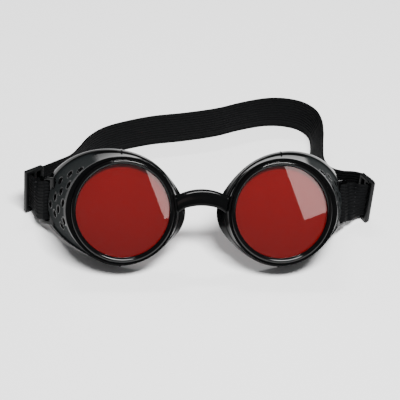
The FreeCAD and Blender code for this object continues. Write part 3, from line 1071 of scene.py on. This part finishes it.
@dataclass
class StrapRun:
    """Route of one strap end round its lug bar and out to the slider, in the lying frame."""

    pose: WornPose
    end: StrapEnd
    thickness: float = 1.2
    clearance: float = 0.3
    slider_level: float = 13.1
    slider_lean: float = 0.1
    slider_thickness: float = 2.6
    fold_radius: float = 1.6
    twist_start: float = 0.15
    twist_length: float = 0.4
    bar: LugBar = field(default_factory=LugBar)

    def __post_init__(self) -> None:
        """Work out the straight run from the bar to the slider."""
        self.slot = Vector((*self.end.slot, self.slider_level))
        self.loop = self.bar_loop()
        self.start = self.loop[-1]
        self.length = (self.slot - self.start).length
        self.heading = (self.slot - self.start).normalized()

    def bar_point(self, x: float, y: float) -> Vector:
        """A worn plan point at the lug's mid height, in the lying frame."""
        return self.pose.lie((self.end.hand.value * x, y, self.bar.middle))

    def bar_loop(self) -> list[Vector]:
        """Centre line of the strap round the lug's bar, from inside to outside."""
        reach = self.clearance + self.thickness / 2.0
        slope = math.atan(self.bar.slope)
        out_x = math.cos(slope)
        out_y = -math.sin(slope)
        outer = self.bar.outer
        inner = outer - self.bar.thickness
        depth = self.bar.back - self.bar.front
        points = [(inner - reach * out_x + self.bar.slope * depth, self.bar.back - reach * out_y)]
        points.append((inner - reach * out_x, self.bar.front - reach * out_y))
        quarter = math.pi / 2.0
        for step in range(1, 6):
            angle = math.pi - slope + step * (quarter + slope) / 5.0
            points.append((inner + reach * math.cos(angle), self.bar.front + reach * math.sin(angle)))
        points.append(((inner + outer) / 2.0, self.bar.front - reach))
        for step in range(6):
            angle = -quarter + step * (quarter - slope) / 5.0
            points.append((outer + reach * math.cos(angle), self.bar.front + reach * math.sin(angle)))
        beyond = depth * 0.9
        end_x = outer + reach * out_x + self.bar.slope * beyond
        points.append((end_x, self.bar.front + reach * out_y + beyond))
        return [self.bar_point(x, y) for x, y in points]

    def width(self, share: float) -> Vector:
        """Width direction: along the bar at the lug, along the slider further out."""
        turned = min(1.0, max(0.0, share - self.twist_start) / self.twist_length)
        at_bar = self.pose.lie((0, 0, 1)) - self.pose.lie((0, 0, 0))
        return (at_bar * (1.0 - turned) + upright(0.0, self.slider_lean) * turned).normalized()

    def inward(self, share: float) -> Vector:
        """Direction through the strap, from its outer layer towards the folded end."""
        return (self.width(share).cross(self.heading) * self.end.hand.value).normalized()

    def place(self, share: float, offset: float = 0.0) -> Vector:
        """Point on the outer layer, moved inwards by an offset."""
        return self.start + self.heading * (self.length * share) + self.inward(share) * offset

    def fold(self) -> list[Vector]:
        """Arc of the strap where it turns round the slider's bar."""
        sign = self.end.hand.value
        flat = Vector((self.heading.x, self.heading.y, 0.0)).normalized()
        first = math.atan2(flat.y, flat.x)
        last = math.atan2(self.end.along[1], self.end.along[0])
        turn = (last - first) % TURN - (TURN if sign < 0 else 0.0)
        normal = Vector((-flat.y * sign, flat.x * sign, 0.0))
        start = self.slot + self.heading * (self.slider_thickness / 2.0 + 0.3)
        centre = start + normal * self.fold_radius
        points = []
        for step in range(7):
            angle = math.atan2(-normal.y, -normal.x) + turn * step / 6.0
            points.append(centre + Vector((math.cos(angle), math.sin(angle), 0.0)) * self.fold_radius)
        return points

    def stations(self) -> list[tuple[Vector, Vector]]:
        """(centre, width direction) from the cut end to just past the slider."""
        layers = self.thickness + self.clearance
        at_bar = self.width(0.0)
        stations = [(self.place(share, layers), self.width(share)) for share in (0.38, 0.31, 0.23, 0.15)]
        stations.append((self.bar_point(self.bar.outer + 1.4, self.bar.back + 1.4), at_bar))
        stations += [(point, at_bar) for point in self.loop]
        stations += [(self.place(share), self.width(share)) for share in (0.15, 0.3, 0.45, 0.7, 1.0)]
        stations += [(point, upright(0.0, self.slider_lean)) for point in self.fold()]
        level = self.slider_level - 0.6
        stations.append((Vector((*self.end.band, level)), upright(0.0, 0.05)))
        return stations


@dataclass
class ElasticStrap:
    """Ribbed elastic head strap, one band from cut end to cut end."""

    pose: WornPose
    width: float = 20.0
    thickness: float = 1.2
    ribs: int = 12
    points_per_rib: int = 6
    rib_depth: float = 0.3
    spacing: float = 1.6
    band_route: tuple = (
        (-72.0, 51.0, 0.0), (-64.5, 57.5, 0.0), (-59.5, 66.0, 0.0), (-54.5, 75.0, 0.0),
        (-47.5, 82.0, 0.0), (-38.0, 87.2, 0.0), (-20.0, 93.5, 0.0), (0.0, 97.4, 0.0),
        (18.0, 102.0, 0.0), (33.0, 108.0, 0.0), (47.0, 112.0, 0.0), (58.0, 112.0, 0.0),
        (67.0, 108.7, 0.02), (72.6, 102.0, 0.08), (73.8, 93.0, 0.18), (72.4, 82.0, 0.26),
        (70.8, 70.0, 0.22), (70.6, 59.0, 0.12), (73.6, 50.6, 0.06), (79.5, 46.6, 0.03),
        (86.5, 44.9, 0.0),
    )

    def stations(self) -> list[tuple[Vector, Vector]]:
        """(centre, width direction) along the whole strap, evenly smoothed."""
        left, right = [StrapRun(self.pose, end) for end in STRAP_ENDS]
        first = left.stations()
        last = right.stations()[::-1]
        level_first = first[-1][0].z
        level_last = last[0][0].z
        half = self.width / 2.0
        middle = []
        count = len(self.band_route)
        for index, (x, y, lean) in enumerate(self.band_route):
            across = upright(lean, 0.0)
            drop_in = max(0.0, 1.0 - index / 2.5) * (level_first - half)
            drop_out = max(0.0, 1.0 - (count - 1 - index) / 3.0) * (level_last - half)
            middle.append((Vector((x, y, half * across.z + max(drop_in, drop_out))), across))
        return first + middle + last

    def smoothed(self) -> list[tuple[Vector, Vector]]:
        """The stations joined by a smooth curve, one about every spacing."""
        knots = self.stations()
        fine = []
        for index in range(len(knots) - 1):
            picks = [knots[max(0, min(len(knots) - 1, index + step))] for step in (-1, 0, 1, 2)]
            centres = [pick[0] for pick in picks]
            widths = [pick[1] for pick in picks]
            gap = (centres[2] - centres[1]).length
            pieces = max(1, round(gap / self.spacing))
            before = (centres[1] - centres[0]).length or gap
            after = (centres[3] - centres[2]).length or gap
            start_slope = (centres[2] - centres[0]) * (gap / (gap + before))
            end_slope = (centres[3] - centres[1]) * (gap / (gap + after))
            for piece in range(pieces):
                t = piece / pieces
                point = centres[1] * (2 * t**3 - 3 * t**2 + 1) + start_slope * (t**3 - 2 * t**2 + t)
                point += centres[2] * (3 * t**2 - 2 * t**3) + end_slope * (t**3 - t**2)
                fine.append((point, widths[1].lerp(widths[2], t).normalized()))
        fine.append(knots[-1])
        return fine

    def section(self) -> list[tuple[float, float, float]]:
        """Closed ribbed section as (across, through, rib) rows, both in millimetres."""
        rows = []
        count = self.ribs * self.points_per_rib
        for face in (1.0, -1.0):
            for step in range(count + 1):
                share = step / count
                wave = abs(math.sin(math.pi * self.ribs * share))
                rib = wave**0.6
                across = face * (share - 0.5) * self.width
                through = face * (self.thickness / 2.0 - self.rib_depth * (1.0 - rib))
                rows.append((across, through, rib))
        return rows

    def build(self, finish: bpy.types.Material) -> None:
        """Model the strap along its route and dress it."""
        stations = self.smoothed()
        rows = self.section()
        sides = len(rows)
        runs = [0.0]
        normals = []
        for index, (centre, across) in enumerate(stations):
            if index:
                runs.append(runs[-1] + (centre - stations[index - 1][0]).length)
            before = stations[max(index - 1, 0)][0]
            after = stations[min(index + 1, len(stations) - 1)][0]
            normals.append((after - before).cross(across).normalized())

        def row_of(turn: float) -> tuple[float, float, float]:
            """Row of the section at a corner's turn."""
            return rows[round(turn / TURN * sides) % sides]

        def place(station: int, turn: float) -> Vector:
            """Corner of the strap."""
            across, through, rib = row_of(turn)
            centre, width = stations[station]
            inner = 1.0 - abs(across) / (self.width / 2.0)
            wander = 0.16 * inner * math.sin(runs[station] * 0.55) * math.sin(across * 0.4)
            return centre + width * (across + wander) + normals[station] * through

        marks = {
            "run": lambda station, turn: runs[station],
            "across": lambda station, turn: row_of(turn)[0],
            "rib": lambda station, turn: row_of(turn)[2],
        }
        piece = swept("elastic_band", sides, len(stations), place, Weld.CAPS, marks)
        finish_shape(piece, self.pose.lying(), 60.0)
        dress(piece, finish)
        kept(piece, "frame", "strap_elastic", "elastic_strap")


@dataclass
class StrapFittings:
    """The two sliders and the bar tacks that close the strap's loops."""

    pose: WornPose
    height: float = 25.0
    thickness: float = 2.6
    upright_width: float = 2.1
    slot_width: float = 2.4
    middle_width: float = 1.9
    window: float = 21.2
    stitch_count: int = 7
    stitch_spacing: float = 2.6
    stitch_radius: float = 0.3
    stitch_share: float = 0.33

    def slider(self, name: str, run: StrapRun) -> bpy.types.Object:
        """Flat slider with a window on each side of its middle bar, in the lying frame."""
        half = self.slot_width / 2.0
        low = -self.upright_width - half
        total = 2.0 * (self.upright_width + self.slot_width) + self.middle_width
        piece = block(
            (low, -self.thickness / 2.0, -self.height / 2.0),
            (low + total, self.thickness / 2.0, self.height / 2.0),
        )
        piece.name = name
        for start in (-half, half + self.middle_width):
            window = block(
                (start, -self.thickness, -self.window / 2.0),
                (start + self.slot_width, self.thickness, self.window / 2.0),
            )
            cut(piece, window)
        apply_modifier(piece, "BEVEL", width=0.5, segments=4, limit_method="ANGLE")
        up = upright(0.0, run.slider_lean)
        through = up.cross(Vector((*run.end.along, 0.0)).normalized()).normalized()
        along = through.cross(up)
        turned = Matrix((along, through, up)).transposed().to_4x4()
        piece.data.transform(Matrix.Translation(run.slot) @ turned)
        return piece

    def bar_tack(self, name: str, run: StrapRun) -> bpy.types.Object:
        """A row of short rounded stitches through both layers of the strap."""
        inward = run.inward(self.stitch_share)
        aim = inward.to_track_quat("Z", "Y").to_euler()
        reach = run.thickness + run.clearance / 2.0 + 0.2
        middle = run.place(self.stitch_share, (run.thickness + run.clearance) / 2.0)
        parts = []
        for index in range(self.stitch_count):
            level = (index - (self.stitch_count - 1) / 2.0) * self.stitch_spacing
            deselect_all()
            bpy.ops.mesh.primitive_cylinder_add(
                vertices=14,
                radius=self.stitch_radius,
                depth=2.0 * reach,
                location=middle + run.width(self.stitch_share) * level,
                rotation=aim,
            )
            parts.append(bpy.context.object)
        piece = joined(name, parts)
        bpy.ops.object.transform_apply(location=True, rotation=True, scale=True)
        apply_modifier(piece, "BEVEL", width=0.16, segments=3, limit_method="ANGLE")
        return piece

    def build(self, plastic: bpy.types.Material, thread: bpy.types.Material) -> None:
        """Model and dress the fittings of both ends."""
        for end in STRAP_ENDS:
            run = StrapRun(self.pose, end)
            prefix = end.hand.prefix
            slider = self.slider(prefix + "slider", run)
            finish_shape(slider, self.pose.lying(), 30.0)
            dress(slider, plastic)
            kept(slider, prefix + "slider", "slider_plastic", prefix + "strap_slider")
            tack = self.bar_tack(prefix + "bar_tack", run)
            finish_shape(tack, self.pose.lying(), 40.0)
            dress(tack, thread)
            kept(tack, "frame", "thread", prefix + "strap_stitching")


# ---------------------------------------------------------------- studio


@dataclass
class Studio:
    """Camera, pale floor and soft lights."""

    pose: WornPose
    target_height: float = 32.5
    distance: float = 750.0
    azimuth_deg: float = -9.0
    elevation_deg: float = 41.0
    roll_deg: float = 6.4
    lens: float = 135.0
    shift: tuple[float, float] = (-0.0075, 0.030)
    room_light: float = 0.18
    window_power: float = 0.014
    window_corners: tuple = ((14.0, -4.0), (2.0, 26.0), (30.0, 2.0))
    window_centres: tuple = (("left_window", -33.0), ("right_window", 38.0))
    window_tint: tuple = (1.0, 0.75, 0.72)
    window_distance: float = 0.6
    softboxes: tuple = (
        ("front_softbox", (0.15, -0.45, 1.25), (0.6, 0.3), 46.0),
        ("rear_strip", (-0.1, 0.7, 1.1), (0.5, 0.05), 5.0),
    )

    def camera_axes(self) -> tuple[Vector, Vector, Vector]:
        """The camera's right, up and viewing directions."""
        azimuth = math.radians(self.azimuth_deg)
        rise = math.radians(self.elevation_deg)
        roll = math.radians(self.roll_deg)
        level = math.cos(rise)
        view = Vector((-math.sin(azimuth) * level, math.cos(azimuth) * level, -math.sin(rise)))
        flat = Vector((math.cos(azimuth), math.sin(azimuth), 0.0))
        above = flat.cross(view)
        right = flat * math.cos(roll) + above * math.sin(roll)
        up = above * math.cos(roll) - flat * math.sin(roll)
        return right, up, view

    def camera(self) -> bpy.types.Object:
        """Add the camera and make it the scene's."""
        data = bpy.data.cameras.new("studio_camera")
        data.lens = self.lens
        data.sensor_width = 36.0
        data.shift_x, data.shift_y = self.shift
        data.clip_end = 20.0
        camera = bpy.data.objects.new("studio_camera", data)
        bpy.context.scene.collection.objects.link(camera)
        right, up, view = self.camera_axes()
        target = self.pose.lying() @ Vector((0.0, 0.0, self.target_height))
        matrix = Matrix((right, up, -view)).transposed().to_4x4()
        matrix.translation = target - view * (self.distance * MM)
        camera.matrix_world = matrix
        bpy.context.scene.camera = camera
        return camera

    def floor(self) -> None:
        """Add the pale floor."""
        deselect_all()
        bpy.ops.mesh.primitive_plane_add(size=8.0, location=(0.0, 0.0, 0.0))
        floor = bpy.context.object
        floor.name = "pale_floor"
        material, bench, shader = new_material("pale_floor")
        place = bench.add("ShaderNodeTexCoord").outputs["Object"]
        tone = bench.noise(place, 3.0, 2.0)
        colour = bench.blend(tone, (0.93, 0.93, 0.93, 1.0), (0.95, 0.95, 0.95, 1.0))
        bench.tree.links.new(colour, shader.inputs["Base Color"])
        shader.inputs["Roughness"].default_value = 0.9
        shader.inputs["Specular IOR Level"].default_value = 0.1
        dress(floor, material)

    def softbox(
        self, name: str, place: Vector, aim: Vector, size: tuple[float, float], power: float
    ) -> bpy.types.Object:
        """Add one rectangular soft light.

        Args:
            name: name of the light.
            place: where it stands, in metres.
            aim: the point it faces.
            size: its width and height in metres.
            power: its power in watts.

        Returns:
            The light.
        """
        data = bpy.data.lights.new(name, "AREA")
        data.shape = "RECTANGLE"
        data.size, data.size_y = size
        data.energy = power
        light = bpy.data.objects.new(name, data)
        bpy.context.scene.collection.objects.link(light)
        light.rotation_euler = (aim - place).to_track_quat("-Z", "Y").to_euler()
        light.location = place
        return light

    def mirrored_place(self, spot: Vector, away: float) -> Vector:
        """Where a light stands that the camera sees reflected at a spot on a lens."""
        facing = Matrix.Rotation(-self.pose.lean, 3, "X") @ Vector((0.0, -1.0, 0.0))
        eye = bpy.context.scene.camera.matrix_world.translation
        ray = (spot - eye).normalized()
        bounced = ray - 2.0 * ray.dot(facing) * facing
        return spot + bounced * away

    def window(self, name: str, corners: Sequence[Sequence[float]], away: float, power: float) -> None:
        """Add a light that the camera sees as a slanted window on a lens.

        Args:
            name: name of the light.
            corners: three worn points on the lens: the window's lower left, upper left and
                lower right corners as the camera sees them.
            away: how far the light stands from the lens, in metres.
            power: its power in watts.
        """
        spots = [self.pose.worn() @ Vector(corner) for corner in corners]
        low, high, side = [self.mirrored_place(spot, away) for spot in spots]
        tall = high - low
        wide = side - low
        wide -= tall * (wide.dot(tall) / tall.length_squared)
        middle = low + tall / 2.0 + wide / 2.0
        towards = (sum(spots, Vector()) / 3.0 - middle).normalized()
        tall_axis = (tall - towards * tall.dot(towards)).normalized()
        wide_axis = tall_axis.cross(-towards).normalized()
        light = self.softbox(name, middle, middle + towards, (wide.length, tall.length), power)
        turned = Matrix((wide_axis, tall_axis, -towards)).transposed().to_4x4()
        turned.translation = middle
        light.matrix_world = turned
        light.data.color = self.window_tint

    def lights(self) -> None:
        """Add the room light, the softboxes overhead and the windows that the lenses reflect."""
        world = bpy.data.worlds.new("studio_room")
        bpy.context.scene.world = world
        world.use_nodes = True
        backdrop = world.node_tree.nodes["Background"]
        backdrop.inputs["Color"].default_value = (0.97, 0.985, 1.0, 1.0)
        backdrop.inputs["Strength"].default_value = self.room_light
        centre = Vector((0.0, 0.0, 0.02))
        for name, place, size, power in self.softboxes:
            self.softbox(name, Vector(place), centre, size, power)
        for name, middle_x in self.window_centres:
            corners = [(middle_x + x, 1.2, z) for x, z in self.window_corners]
            self.window(name, corners, self.window_distance, self.window_power)

    def build(self) -> None:
        """Set up the whole studio."""
        self.camera()
        self.floor()
        self.lights()


def main() -> None:
    """Build the goggles' looks and the studio, and hand them to the frame."""
    logging.basicConfig(level=logging.INFO, format="%(name)s: %(message)s")
    pose = WornPose()
    Studio(pose).build()
    gloss = MouldedFinish(
        "gloss_black_moulding", (0.0012, 0.0013, 0.0014), 0.05, 0.11, shield=True, gloss=0.07
    )
    ring = MouldedFinish("gloss_black_ring", (0.0009, 0.0009, 0.001), 0.05, 0.1, gloss=0.2)
    satin = MouldedFinish(
        "satin_black_slider", (0.002, 0.0022, 0.0024), 0.28, 0.42, grain_share=0.5, relief=0.05, gloss=0.12
    )
    rubber = MouldedFinish(
        "matt_black_rubber", (0.006, 0.0063, 0.007), 0.55, 0.75, grain_share=0.8, relief=0.08, gloss=0.25
    )
    thread = MouldedFinish(
        "black_thread",
        (0.005, 0.005, 0.006),
        0.6,
        0.8,
        gloss=0.25,
        grain_share=1.0,
        relief=0.2,
        grain_scale=4000.0,
    )
    rubber_look = rubber.material()
    Moulding(pose).build(gloss.material())
    FaceSeal(pose).build(rubber_look)
    LensStack(pose).build(ring.material(), CoverGlass().material(), TintedGlass().material(), rubber_look)
    ElasticStrap(pose).build(WovenElastic().material())
    StrapFittings(pose).build(satin.material(), thread.material())


if __name__ == "__main__":
    main()
